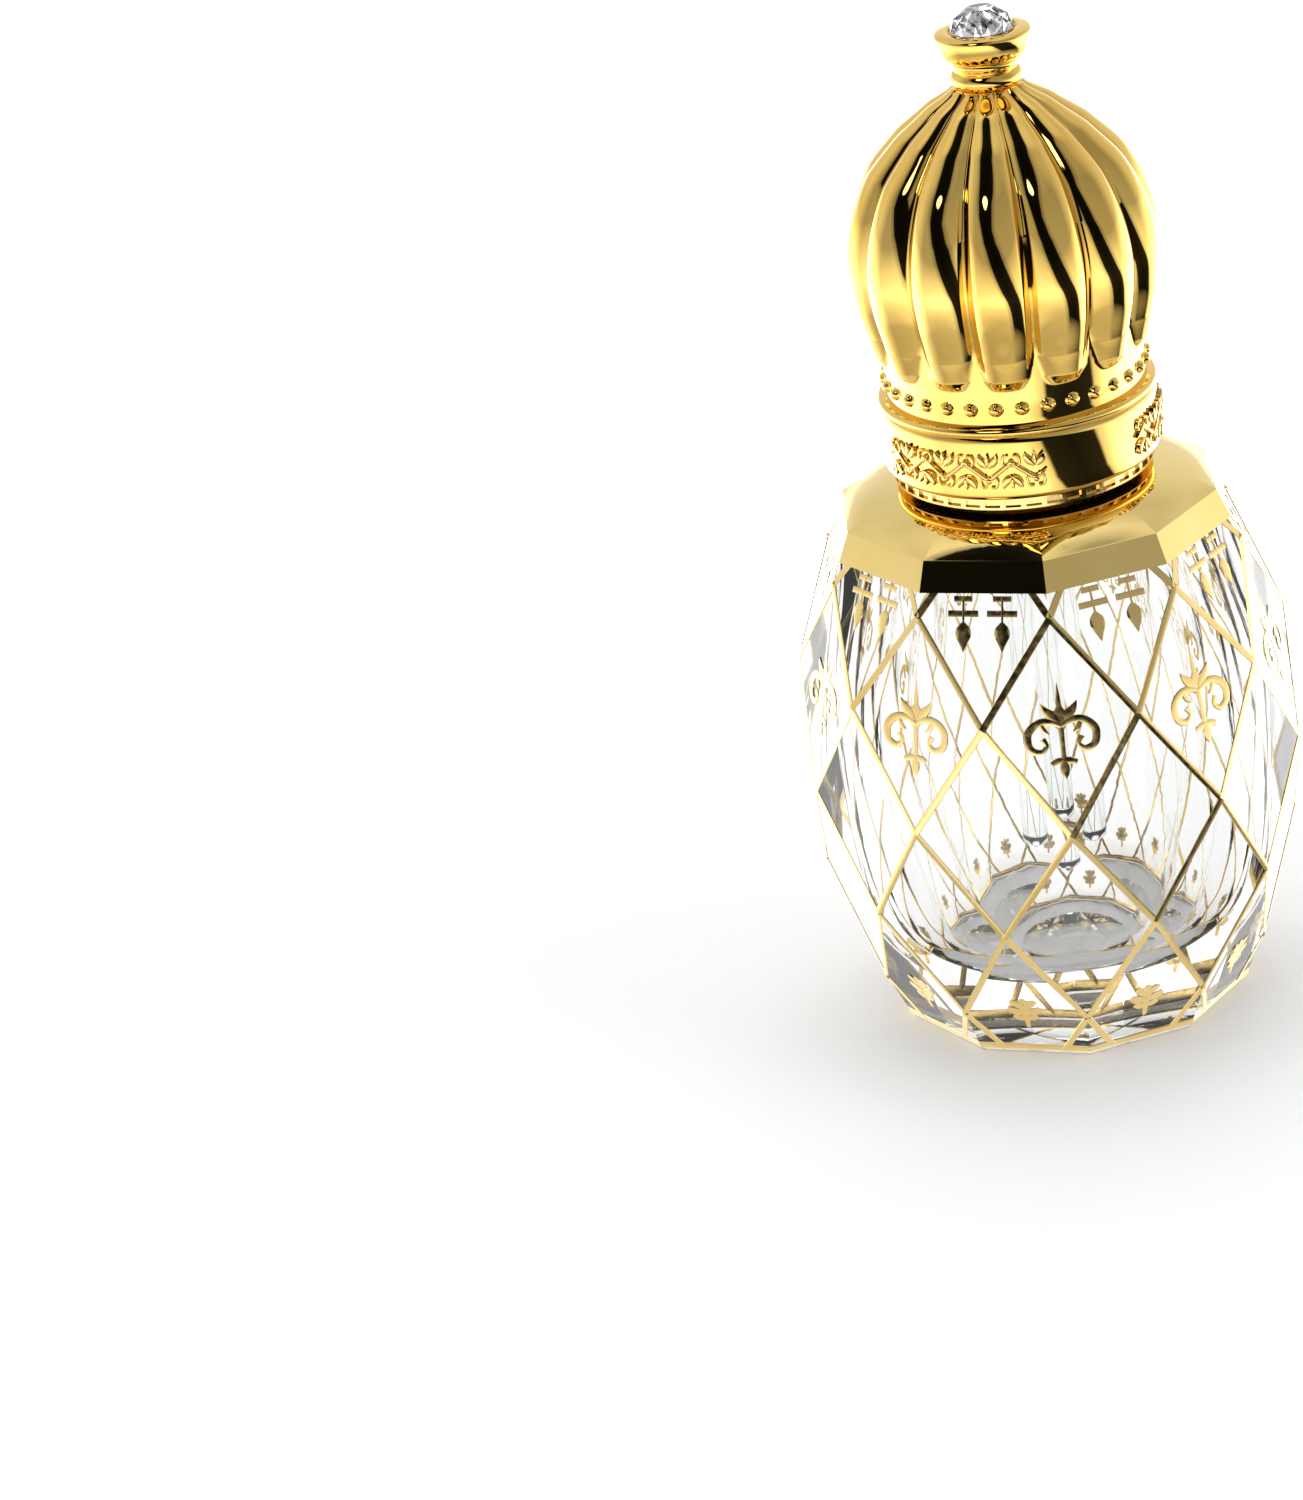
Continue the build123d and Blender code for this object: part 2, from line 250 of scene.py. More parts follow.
def plastic(name, pale, deep, roughness, scale, depth, glow=0.0):
    material, tree, shader, place = node_material(name)
    cloud = noise_of(tree, place, scale, detail=5)
    tree.links.new(ramp_of(tree, cloud, [(0.3, deep), (0.7, pale)]), shader.inputs["Base Color"])
    tree.links.new(bump_of(tree, cloud, depth, 0.5), shader.inputs["Normal"])
    shader.inputs["Roughness"].default_value = roughness
    shader.inputs["Subsurface Weight"].default_value = glow
    shader.inputs["Subsurface Scale"].default_value = 0.4 * MM
    return material


def height_mask(tree, place, level):
    """1 above a height in mm, 0 below it."""
    split = tree.nodes.new("ShaderNodeSeparateXYZ")
    tree.links.new(place, split.inputs["Vector"])
    above = tree.nodes.new("ShaderNodeMath")
    above.operation = "GREATER_THAN"
    above.inputs[1].default_value = level * MM
    tree.links.new(split.outputs["Z"], above.inputs[0])
    return above.outputs["Value"]


def plated_plastic(name):
    """White moulded plastic whose skirt is gold plated up to just inside the collar."""
    material = gold(name, (0.93, 0.69, 0.27), (0.86, 0.58, 0.2), (0.1, 0.22), 0.01, 0.004)
    tree = material.node_tree
    shader = tree.nodes["Principled BSDF"]
    place = tree.nodes.new("ShaderNodeTexCoord").outputs["Object"]
    bare = tree.nodes.new("ShaderNodeBsdfPrincipled")
    bare.inputs["Roughness"].default_value = 0.45
    tones = [(0.3, (0.78, 0.78, 0.75)), (0.7, (0.86, 0.86, 0.84))]
    tree.links.new(ramp_of(tree, noise_of(tree, place, 300), tones), bare.inputs["Base Color"])
    mix = tree.nodes.new("ShaderNodeMixShader")
    tree.links.new(height_mask(tree, place, COLLAR_Z + 0.4), mix.inputs["Fac"])
    tree.links.new(shader.outputs["BSDF"], mix.inputs[1])
    tree.links.new(bare.outputs["BSDF"], mix.inputs[2])
    tree.links.new(mix.outputs["Shader"], tree.nodes["Material Output"].inputs["Surface"])
    return material


def foiled_stone(name, girdle):
    """Cut glass over a patchy silver foil."""
    material = clear_glass(name, (0.96, 0.97, 0.985), 0.001)
    tree = material.node_tree
    shader = tree.nodes["Principled BSDF"]
    shader.inputs["IOR"].default_value = 1.65
    place = tree.nodes.new("ShaderNodeTexCoord").outputs["Object"]
    foil = tree.nodes.new("ShaderNodeBsdfPrincipled")
    foil.inputs["Metallic"].default_value = 1.0
    foil.inputs["Roughness"].default_value = 0.1
    patches = [(0.42, (0.16, 0.16, 0.17)), (0.48, (0.6, 0.61, 0.63)), (0.54, (0.95, 0.95, 0.96))]
    cloud = noise_of(tree, place, 1500, detail=1)
    tree.links.new(ramp_of(tree, cloud, patches), foil.inputs["Base Color"])
    mix = tree.nodes.new("ShaderNodeMixShader")
    tree.links.new(height_mask(tree, place, girdle), mix.inputs["Fac"])
    tree.links.new(foil.outputs["BSDF"], mix.inputs[1])
    tree.links.new(shader.outputs["BSDF"], mix.inputs[2])
    tree.links.new(mix.outputs["Shader"], tree.nodes["Material Output"].inputs["Surface"])
    return material


CAP_GOLD = gold("cap_gold_plate", (0.94, 0.65, 0.18), (0.88, 0.56, 0.13), (0.02, 0.05), 0.006, 0.0008)
RELIEF_GOLD = gold("collar_gold_plate", (0.95, 0.68, 0.24), (0.88, 0.58, 0.16), (0.04, 0.1), 0.008, 0.002)
FIRED_GOLD = gold("fired_gold", (0.95, 0.73, 0.29), (0.9, 0.66, 0.22), (0.03, 0.08), 0.004, 0.001)
PAINT_GOLD = gold("painted_gold", (0.95, 0.73, 0.33), (0.82, 0.58, 0.21), (0.12, 0.28), 0.01, 0.004)
GLASS = clear_glass("faceted_glass", (0.97, 0.985, 0.985), 0.012)
STICK_GLASS = clear_glass("stick_glass", (0.93, 0.97, 0.97), 0.006)


# ======================= the painted glass =======================

def corner_rows():
    """(radius, height, half-step shift) of each row; the radii make every facet flat."""
    seat_share = (SHOULDER_Z - HIGH_Z) / (SHOULDER_Z - UPPER_Z)
    belt_share = (HIGH_Z - UPPER_Z) / (HIGH_Z - WAIST_Z)
    from_shoulder = (1 - belt_share) * (1 - seat_share) * SHOULDER_RADIUS
    from_waist = belt_share * WAIST_RADIUS
    upper = (from_shoulder + from_waist) / (FLAT - (1 - belt_share) * seat_share / FLAT)
    high = (1 - seat_share) * SHOULDER_RADIUS + seat_share * upper / FLAT
    lower = line_at(UPPER_Z, upper, WAIST_Z, WAIST_RADIUS * FLAT, LOWER_Z)
    heel = line_at(WAIST_Z, WAIST_RADIUS, LOWER_Z, lower * FLAT, HEEL_Z)
    foot = line_at(LOWER_Z, lower, HEEL_Z, heel * FLAT, FOOT_Z) / FLAT
    return {
        "shoulder": (SHOULDER_RADIUS, SHOULDER_Z, 0),
        "high": (high, HIGH_Z, 0),
        "upper": (upper, UPPER_Z, 0.5),
        "waist": (WAIST_RADIUS, WAIST_Z, 0),
        "lower": (lower, LOWER_Z, 0.5),
        "heel": (heel, HEEL_Z, 0),
        "foot": (foot, FOOT_Z, 0),
        "base": (foot - FOOT_BEVEL, 0, 0),
    }


ROWS = corner_rows()


def corner(row, number):
    radius, height, shift = ROWS[row]
    return around(radius, height, (number + shift) * SIDE_STEP)


class Facet:
    """A flat facet: its middle azimuth, outward normal, and up and right directions in its plane."""

    def __init__(self, azimuth, low, high):
        low_reach, low_z = low
        high_reach, high_z = high
        self.azimuth = azimuth
        self.low, self.high = low, high
        out = Vector((sin(azimuth), -cos(azimuth), 0))
        self.up = (out * (high_reach - low_reach) + Vector((0, 0, high_z - low_z))).normalized()
        self.right = Vector((cos(azimuth), sin(azimuth), 0))
        self.normal = self.right.cross(self.up).normalized()
        self.out = out

    def at_height(self, height):
        """The point on the facet's centre line at a height."""
        reach = line_at(self.low[1], self.low[0], self.high[1], self.high[0], height)
        return self.out * reach + Vector((0, 0, height))

    def at(self, origin, across, along, lift=0.0):
        return origin + self.right * across + self.up * along + self.normal * lift


def facet_between(azimuth, low_row, low_scale, high_row, high_scale):
    low_radius, low_z, _ = ROWS[low_row]
    high_radius, high_z, _ = ROWS[high_row]
    return Facet(azimuth, (low_radius * low_scale, low_z), (high_radius * high_scale, high_z))


def kite(k):
    return facet_between((k + 0.5) * SIDE_STEP, "upper", 1, "high", FLAT)


def upper_diamond(k):
    return facet_between(k * SIDE_STEP, "waist", 1, "high", 1)


def middle_diamond(k):
    return facet_between((k + 0.5) * SIDE_STEP, "lower", 1, "upper", 1)


def lower_diamond(k):
    return facet_between(k * SIDE_STEP, "heel", 1, "waist", 1)


def heel_facet(k):
    return facet_between((k + 0.5) * SIDE_STEP, "heel", FLAT, "lower", 1)


def bevel_facet(k):
    return facet_between((k + 0.5) * SIDE_STEP, "base", FLAT, "foot", FLAT)


def painted_line(stock, start, end, facet_a, facet_b, width, paint, seed, reach_b=1.0):
    """A gold line folded over the edge between two facets, its width a little uneven.

    reach_b is the share of its half width that it reaches on to the second facet.
    """
    length = (end - start).length
    steps = max(4, int(length / 0.45))
    along = (end - start).normalized()
    sides = []
    middle = (facet_a.normal + facet_b.normal).normalized()
    for facet, other, reach in ((facet_a, facet_b, 1.0), (facet_b, facet_a, reach_b)):
        across = facet.normal.cross(along)
        if across.dot(other.normal) > 0:
            across = -across
        sides.append((facet.normal, across, reach))
    if facet_a is facet_b:
        sides[1] = (facet_a.normal, -sides[0][1], sides[1][2])
    ridge = paint / max(0.5, middle.dot(facet_a.normal))
    rings = []
    for i in range(steps + 1):
        t = i / steps
        point = start.lerp(end, t)
        wobble = noise.noise(Vector((seed * 7.3, t * length * 0.9, 0.5)))
        half = width / 2 * (1 + 0.1 * wobble)
        ring = []
        (normal_a, across_a, half_a), (normal_b, across_b, half_b) = sides
        ring.append(point + across_a * half * half_a - normal_a * SINK)
        ring.append(point + across_a * half * half_a * 0.86 + normal_a * paint)
        ring.append(point + middle * ridge)
        ring.append(point + across_b * half * half_b * 0.86 + normal_b * paint)
        ring.append(point + across_b * half * half_b - normal_b * SINK)
        ring.append(point - middle * SINK * 2)
        rings.append(ring)
    stock.tube(rings)


def make_lattice():
    """Lines on the diamonds' edges, run on up to the gilding and down to the foot."""
    stock = Stock()
    thin = PAINT
    thick = PAINT * 1.25
    for k in range(SIDES):
        high, upper, waist = corner("high", k), corner("upper", k), corner("waist", k)
        lower, heel = corner("lower", k), corner("heel", k)
        kite_here, kite_back = kite(k), kite(k - 1)
        edges = [
            (high, upper, kite_here, upper_diamond(k), thin),
            (high, corner("upper", k - 1), kite_back, upper_diamond(k), thick),
            (upper, corner("waist", k + 1), middle_diamond(k), upper_diamond(k + 1), thin),
            (upper, waist, middle_diamond(k), upper_diamond(k), thick),
            (waist, lower, middle_diamond(k), lower_diamond(k), thin),
            (waist, corner("lower", k - 1), middle_diamond(k - 1), lower_diamond(k), thick),
            (lower, corner("heel", k + 1), heel_facet(k), lower_diamond(k + 1), thin),
            (lower, heel, heel_facet(k), lower_diamond(k), thick),
        ]
        for number, (start, end, facet_a, facet_b, paint) in enumerate(edges):
            painted_line(stock, start, end, facet_a, facet_b, LINE_WIDTH, paint, k + 0.1 * number)
        climb = (GILDING_BOTTOM_Z + 0.1 - HIGH_Z) / (HIGH_Z - UPPER_Z) * SIDE_STEP / 2
        drop = (HEEL_Z - FOOT_Z) / (LOWER_Z - HEEL_Z) * SIDE_STEP / 2
        for facet, way, paint in ((kite_here, 1, thick), (kite_back, -1, thin)):
            end = on_facet(facet, k * SIDE_STEP + way * climb, GILDING_BOTTOM_Z + 0.1)
            painted_line(stock, high, end, facet, facet, LINE_WIDTH, paint, k + 0.83 * way)
        for facet, way, paint in ((heel_facet(k), 1, thick), (heel_facet(k - 1), -1, thin)):
            end = on_facet(facet, k * SIDE_STEP + way * drop, FOOT_Z)
            painted_line(stock, heel, end, facet, facet, LINE_WIDTH, paint, k + 0.67 * way)
    return new_piece("gilt_lattice", stock, "bottle", PAINT_GOLD)


def on_facet(facet, turn, height):
    """The facet's point at an azimuth and a height."""
    reach = line_at(facet.low[1], facet.low[0], facet.high[1], facet.high[0], height)
    return around(reach / cos(turn - facet.azimuth), height, turn)


def make_foot_rim():
    """A broad band folded over the foot's edge."""
    stock = Stock()
    for k in range(SIDES):
        start, end = corner("foot", k), corner("foot", k + 1)
        facets = (heel_facet(k), bevel_facet(k))
        painted_line(stock, start, end, *facets, RIM_WIDTH, PAINT * 0.8, seed=k + 31, reach_b=0.7)
    return new_piece("gilt_foot_rim", stock, "bottle", PAINT_GOLD)


def stroke(stock, place, knots, height, steps=8):
    """A raised brush stroke. knots are (x, y, width); place(x, y, lift) gives the point in space."""
    span = len(knots) - 1
    count = span * steps
    rings = []
    for i in range(count + 1):
        t = span * i / count
        x, y, width = catmull(knots, t)
        ahead = catmull(knots, min(span, t + 0.02))
        behind = catmull(knots, max(0, t - 0.02))
        dx, dy = ahead[0] - behind[0], ahead[1] - behind[1]
        size = sqrt(dx * dx + dy * dy) or 1.0
        nx, ny = -dy / size, dx / size
        half = max(width, 0.03) / 2
        ring = []
        for side, lift in ((-1, -SINK), (-0.88, 0.8), (-0.5, 1), (0.5, 1), (0.88, 0.8), (1, -SINK)):
            rise = lift if lift < 0 else lift * height
            ring.append(place(x + nx * half * side, y + ny * half * side, rise))
        rings.append(ring)
    stock.tube(rings)


def mirrored(knots):
    return [(-x, y, width) for x, y, width in knots]


def fleur_strokes():
    """A spike and two leaves on a full heart, over two scrolls and a stem with a small cross."""
    spike = [(0, 0.9, 0.4), (0, 1.6, 0.36), (0, 2.3, 0.24), (0, 3.1, 0.04)]
    heart = [(0, 0.1, 0.4), (0, 0.6, 1.0), (0, 1.1, 0.9), (0, 1.6, 0.3)]
    side_leaf = [(0.12, 0.5, 0.4), (0.5, 1.0, 0.66), (0.86, 1.4, 0.46), (1.12, 1.85, 0.05)]
    scroll = [
        (0.0, 0.35, 0.3),
        (0.66, 0.66, 0.46),
        (1.45, 0.6, 0.5),
        (2.06, 0.0, 0.54),
        (2.0, -0.86, 0.5),
        (1.42, -1.2, 0.4),
        (0.98, -0.84, 0.3),
        (1.2, -0.36, 0.44),
    ]
    barb = [(1.2, 0.5, 0.3), (1.0, 0.12, 0.34), (0.72, -0.1, 0.1)]
    stem = [(0, 0.4, 0.4), (0, -0.6, 0.34), (0, -1.4, 0.32), (0, -1.9, 0.4)]
    cross = [(-0.78, -2.02, 0.36), (-0.4, -1.86, 0.42), (0.4, -1.86, 0.42), (0.78, -2.02, 0.36)]
    foot = [(0, -1.8, 0.3), (0, -2.3, 0.6), (0, -2.7, 0.44), (0, -3.0, 0.08)]
    halves = [side_leaf, scroll, barb]
    return [spike, heart, stem, cross, foot] + halves + [mirrored(knots) for knots in halves]


def sprig_strokes():
    """A small leaf with three pairs of lobes."""
    stalk = [(0, -1.4, 0.3), (0, -0.6, 0.44), (0, 0.3, 0.72), (0, 0.95, 0.8), (0, 1.42, 0.3)]
    low_lobe = [(0, -0.5, 0.3), (0.42, -0.42, 0.56), (0.78, -0.22, 0.4)]
    middle_lobe = [(0, 0.1, 0.4), (0.6, 0.22, 0.7), (1.1, 0.5, 0.46)]
    top_lobe = [(0, 0.65, 0.4), (0.42, 0.92, 0.62), (0.8, 1.25, 0.34)]
    lobes = [low_lobe, middle_lobe, top_lobe]
    return [stalk] + lobes + [mirrored(lobe) for lobe in lobes]


def pendant_strokes():
    """Two bars on a stem with a pointed drop, its top at y = 0."""
    top_bar = [(-0.58, -0.2, 0.36), (0, -0.2, 0.36), (0.58, -0.2, 0.36)]
    low_bar = [(-0.95, -1.1, 0.4), (0, -1.1, 0.4), (0.95, -1.1, 0.4)]
    stem = [(0, -0.1, 0.14), (0, -1.1, 0.16), (0, -1.75, 0.14)]
    drop = [(0, -1.62, 0.2), (0, -2.0, 0.86), (0, -2.45, 0.96), (0, -2.95, 0.5), (0, -3.45, 0.04)]
    return [top_bar, low_bar, stem, drop]


def place_on(facet, origin, across=0.0):
    return lambda x, y, lift: facet.at(origin, across + x, y, lift)


def paint_motif(stock, place, strokes):
    for number, knots in enumerate(strokes):
        stroke(stock, place, knots, PAINT * (1 + 0.13 * number))


def make_motifs():
    fleurs, pendants, sprigs = Stock(), Stock(), Stock()
    for k in range(SIDES):
        diamond = upper_diamond(k)
        paint_motif(fleurs, place_on(diamond, diamond.at_height(24.4)), fleur_strokes())
        panel = kite(k)
        for across in (-1.22, 1.22):
            paint_motif(pendants, place_on(panel, panel.at_height(32.55), across), pendant_strokes())
        low = heel_facet(k)
        paint_motif(sprigs, place_on(low, low.at_height(3.75)), sprig_strokes())
    new_piece("gilt_fleurs", fleurs, "bottle", PAINT_GOLD)
    new_piece("gilt_pendants", pendants, "bottle", PAINT_GOLD)
    new_piece("gilt_sprigs", sprigs, "bottle", PAINT_GOLD)


# ======================= the cap =======================

def lobe_radius(crest, depth, turn):
    """Radius of a scalloped section: round lobes that meet in sharp grooves."""
    half = pi / LOBES
    phi = (turn - LOBE_PHASE) % (2 * half) - half
    groove = crest - depth
    bulge = crest - groove * cos(half)
    chord = groove * sin(half)
    round_radius = (chord * chord + bulge * bulge) / (2 * bulge)
    centre = crest - round_radius
    return centre * cos(phi) + sqrt(round_radius**2 - (centre * sin(phi)) ** 2)


def soft_max(a, b, blend):
    """The larger of two radii, with a small fillet where they meet."""
    gap = abs(a - b)
    larger = max(a, b)
    return larger if gap > blend else larger + (blend - gap) ** 2 / (4 * blend)


def crest_at(height):
    """Crest radius and groove depth of the dome at a height."""
    heights = [knot[0] for knot in DOME_KNOTS]
    if height <= heights[0]:
        return DOME_KNOTS[0][1] - (heights[0] - height) * 4, DOME_KNOTS[0][2]
    i = max(j for j in range(len(heights) - 1) if heights[j] <= height)
    t = i + (height - heights[i]) / (heights[i + 1] - heights[i])
    _, crest, depth = catmull(DOME_KNOTS, min(t, len(heights) - 1))
    return crest, depth


def make_dome():
    stock = Stock()
    columns = LOBES * 26
    turns = [2 * pi * k / columns for k in range(columns)]
    vault = [(1.2, DOME_TOP_Z), (1.2, 59.4), (3.4, 59.0), (6.0, 56.0), (7.4, 51.2), (CORE_RADIUS, 47)]
    heights = [COLLAR_TOP_Z, 42.3, 42.9, 43.5]
    heights += [43.8 + 0.07 * i for i in range(46)]
    heights += [47.1 + 0.22 * i for i in range(60)]
    heights += [60.3 + 0.1 * i for i in range(8)]
    rings = [[around(CORE_RADIUS, COLLAR_TOP_Z, turn) for turn in turns]]
    rings.append([around(WALL_RADIUS - 0.05, COLLAR_TOP_Z, turn) for turn in turns])
    for height in heights:
        crest, depth = crest_at(height)
        ring = []
        for turn in turns:
            radius = lobe_radius(crest, depth, turn) if crest > depth + 0.5 else WALL_RADIUS
            if height < 48:
                radius = soft_max(radius, WALL_RADIUS, 0.16)
            ring.append(around(radius, height, turn))
        rings.append(ring)
    for radius, height in vault:
        rings.append([around(radius, height, turn) for turn in turns])
    stock.tube(rings, closed=True)
    dome = new_piece("lobed_dome", stock, "cap", CAP_GOLD, sharp=50)
    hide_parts("cap_shell")


def make_beads():
    """Half-round beads that melt into the wall with a small foot."""
    stock = Stock()
    # reach and rise of each ring, as shares of the bead's radius
    profile = [(1.35, -0.06), (1.12, 0.1), (0.98, 0.3), (0.86, 0.58)]
    profile += [(0.62, 0.82), (0.34, 0.96), (0.06, 1.0)]
    for k in range(BEADS):
        turn = BEAD_PHASE + k * 2 * pi / BEADS
        centre = around(WALL_RADIUS, BEAD_Z, turn)
        out = around(1, 0, turn)
        side = Vector((-out.y, out.x, 0))
        rings = []
        for reach, rise in profile:
            ring = []
            for j in range(20):
                spin = 2 * pi * j / 20
                flat = side * cos(spin) + Vector((0, 0, 1)) * sin(spin)
                ring.append(centre + (flat * reach + out * rise) * BEAD_RADIUS)
            rings.append(ring)
        stock.tube(rings)
    new_piece("bead_row", stock, "cap", CAP_GOLD, sharp=60)


def arc(cx, cz, radius, start, end, steps):
    """Outline points of an arc; angles in degrees from the +radius direction."""
    points = []
    for i in range(steps + 1):
        angle = radians(start + (end - start) * i / steps)
        points.append((cx + radius * cos(angle), cz + radius * sin(angle)))
    return points


def make_collar():
    lip = 0.38
    profile = [(COLLAR_INNER_RADIUS, COLLAR_Z)]
    profile += arc(COLLAR_RADIUS - lip, COLLAR_Z + lip, lip, -90, 0, 8)
    profile += [(COLLAR_RADIUS, COLLAR_Z + 1.2), (COLLAR_RADIUS, 40.9)]
    profile += [(COLLAR_RADIUS - 0.03, 41.15), (COLLAR_RADIUS - 0.12, 41.28)]
    profile += arc(COLLAR_RADIUS - 0.2, 41.6, 0.3, -70, 90, 10)
    profile += [(COLLAR_INNER_RADIUS, COLLAR_TOP_Z)]
    stock = Stock()
    stock.lathe(profile, 300)
    collar = new_piece("rolled_collar", stock, "cap", CAP_GOLD, sharp=35)
    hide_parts("collar_band")


def place_on_collar(azimuth, height):
    def place(x, y, lift):
        return around(COLLAR_RADIUS + lift, height + y, azimuth + x / COLLAR_RADIUS)
    return place


def make_collar_vine():
    """Three panels of a raised vine: a waving stem with pairs of leaves, buds and tendrils."""
    stock = Stock()
    panel = radians(76)
    reach = panel * COLLAR_RADIUS / 2
    waves = 4
    for turn in range(3):
        place = place_on_collar(radians(-31.5) + turn * 2 * pi / 3, 39.2)
        stem = []
        for i in range(waves * 4 + 1):
            x = -reach + 2 * reach * i / (waves * 4)
            stem.append((x, 0.46 * sin(pi * i / 2), 0.3 if 0 < i < waves * 4 else 0.1))
        stroke(stock, place, stem, 0.24, steps=6)
        for i in range(waves * 2):
            x = -reach + reach * (2 * i + 1) / (waves * 2)
            way = 1 if i % 2 else -1
            for lean in (-1, 1):
                leaf = [
                    (x + 0.02 * lean, 0.3 * way, 0.16),
                    (x + 0.3 * lean, 0.56 * way, 0.52),
                    (x + 0.5 * lean, 0.86 * way, 0.4),
                    (x + 0.56 * lean, 1.12 * way, 0.06),
                ]
                stroke(stock, place, leaf, 0.27 + 0.02 * lean, steps=5)
            heart = [(x, 0.5 * way, 0.1), (x, 0.85 * way, 0.3), (x, 1.18 * way, 0.05)]
            stroke(stock, place, heart, 0.31, steps=5)
            berry = [(x - 0.2, -0.52 * way, 0.1), (x, -0.58 * way, 0.46), (x + 0.2, -0.52 * way, 0.1)]
            stroke(stock, place, berry, 0.28, steps=5)
            for lean in (-1, 1):
                tendril = [
                    (x + 0.2 * lean, -0.2 * way, 0.12),
                    (x + 0.52 * lean, -0.55 * way, 0.2),
                    (x + 0.42 * lean, -0.98 * way, 0.2),
                    (x + 0.12 * lean, -1.02 * way, 0.16),
                ]
                stroke(stock, place, tendril, 0.2 + 0.02 * lean, steps=6)
    new_piece("collar_vine", stock, "cap", RELIEF_GOLD, sharp=55)


def make_finial():
    """A bulging drum for a foot, and a bowl with a broad flat rim round the stone."""
    profile = [(1.2, 58.9), (1.2, 61.0), (1.9, 60.98)]
    profile += arc(1.62, 61.54, 0.62, -58, 58, 12)
    profile += [(1.95, 62.14), (1.98, 62.2), (2.06, 62.36), (2.08, 62.5), (2.04, 62.6)]
    for i in range(1, 17):
        angle = radians(90 * i / 16)
        profile.append((2.04 + 0.94 * sin(angle), 64.1 - 1.42 * cos(angle)))
    profile += arc(2.74, 64.18, 0.24, 0, 76, 8)
    profile += [(2.45, 64.46), (2.16, 64.5), (2.11, 64.48), (2.08, 64.38), (1.2, 63.62), (0.05, 63.1)]
    profile += [(0.05, 58.9)]
    stock = Stock()
    stock.lathe(profile, 180)
    finial = new_piece("turned_finial", stock, "cap", CAP_GOLD, sharp=42)
    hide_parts("finial")


# ======================= studio =======================

def paint_nodes():
    """Gives each CAD node that stays its finish."""
    finishes = {
        "glass_bottle": GLASS,
        "shoulder_gilding": FIRED_GOLD,
        "neck_plug": plastic("soft_plug", (0.88, 0.9, 0.9), (0.8, 0.82, 0.83), 0.38, 260, 0.02, 0.4),
        "applicator_rod": STICK_GLASS,
        "seal_liner": plastic("liner_foam", (0.9, 0.9, 0.88), (0.8, 0.8, 0.78), 0.8, 1500, 0.05),
        "inner_cap": plated_plastic("gilt_plastic"),
        "rhinestone": foiled_stone("foiled_stone", GIRDLE_Z),
    }
    for node, material in finishes.items():
        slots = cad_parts[node].data.materials
        slots.clear()
        slots.append(material)


def make_floor():
    size = 1.6
    corners = [(-size, -size, 0), (size, -size, 0), (size, size, 0), (-size, size, 0)]
    mesh = bpy.data.meshes.new("floor")
    mesh.from_pydata(corners, [], [(0, 1, 2, 3)])
    floor = bpy.data.objects.new("floor", mesh)
    bpy.context.scene.collection.objects.link(floor)
    material, tree, shader, place = node_material("pale_floor")
    tones = [(0.2, (0.86, 0.86, 0.86)), (0.8, (0.9, 0.9, 0.9))]
    tree.links.new(ramp_of(tree, noise_of(tree, place, 6), tones), shader.inputs["Base Color"])
    shader.inputs["Roughness"].default_value = 0.6
    # The floor glows faintly though it is no lamp: painted light that lifts the shade under the bottle
    # and softens its contact shadow.
    shader.inputs["Emission Color"].default_value = (1, 1, 1, 1)
    shader.inputs["Emission Strength"].default_value = 0.16
    mesh.materials.append(material)
    floor.visible_glossy = False


def add_softbox(name, azimuth, elevation, distance, width, height, power):
    """An area light that faces the bottle; neither the camera nor the gold sees the lamp itself."""
    light = bpy.data.lights.new(name, "AREA")
    light.shape = "RECTANGLE"
    light.size = width
    light.size_y = height
    light.energy = power
    lamp = bpy.data.objects.new(name, light)
    bpy.context.scene.collection.objects.link(lamp)
    turn, rise = radians(azimuth), radians(elevation)
    aim = Vector((0, 0, 0.035))
    lamp.location = aim + Vector((sin(turn) * cos(rise), -cos(turn) * cos(rise), sin(rise))) * distance
    lamp.rotation_mode = "QUATERNION"
    lamp.rotation_quaternion = (aim - lamp.location).to_track_quat("-Z", "Y")
    lamp.visible_camera = False
    lamp.visible_glossy = False


def math_node(tree, operation, first, second=0.0):
    node = tree.nodes.new("ShaderNodeMath")
    node.operation = operation
    for socket, value in zip(node.inputs, (first, second)):
        if isinstance(value, (int, float)):
            socket.default_value = value
        else:
            tree.links.new(value, socket)
    return node.outputs["Value"]


def grey_ramp(tree, value, stops):
    """A ramp of levels from 0 to 4, which is scaled because ramp colours end at 1."""
    scaled = [(position, (level / 4, level / 4, level / 4)) for position, level in stops]
    return math_node(tree, "MULTIPLY", ramp_of(tree, value, scaled), 4)


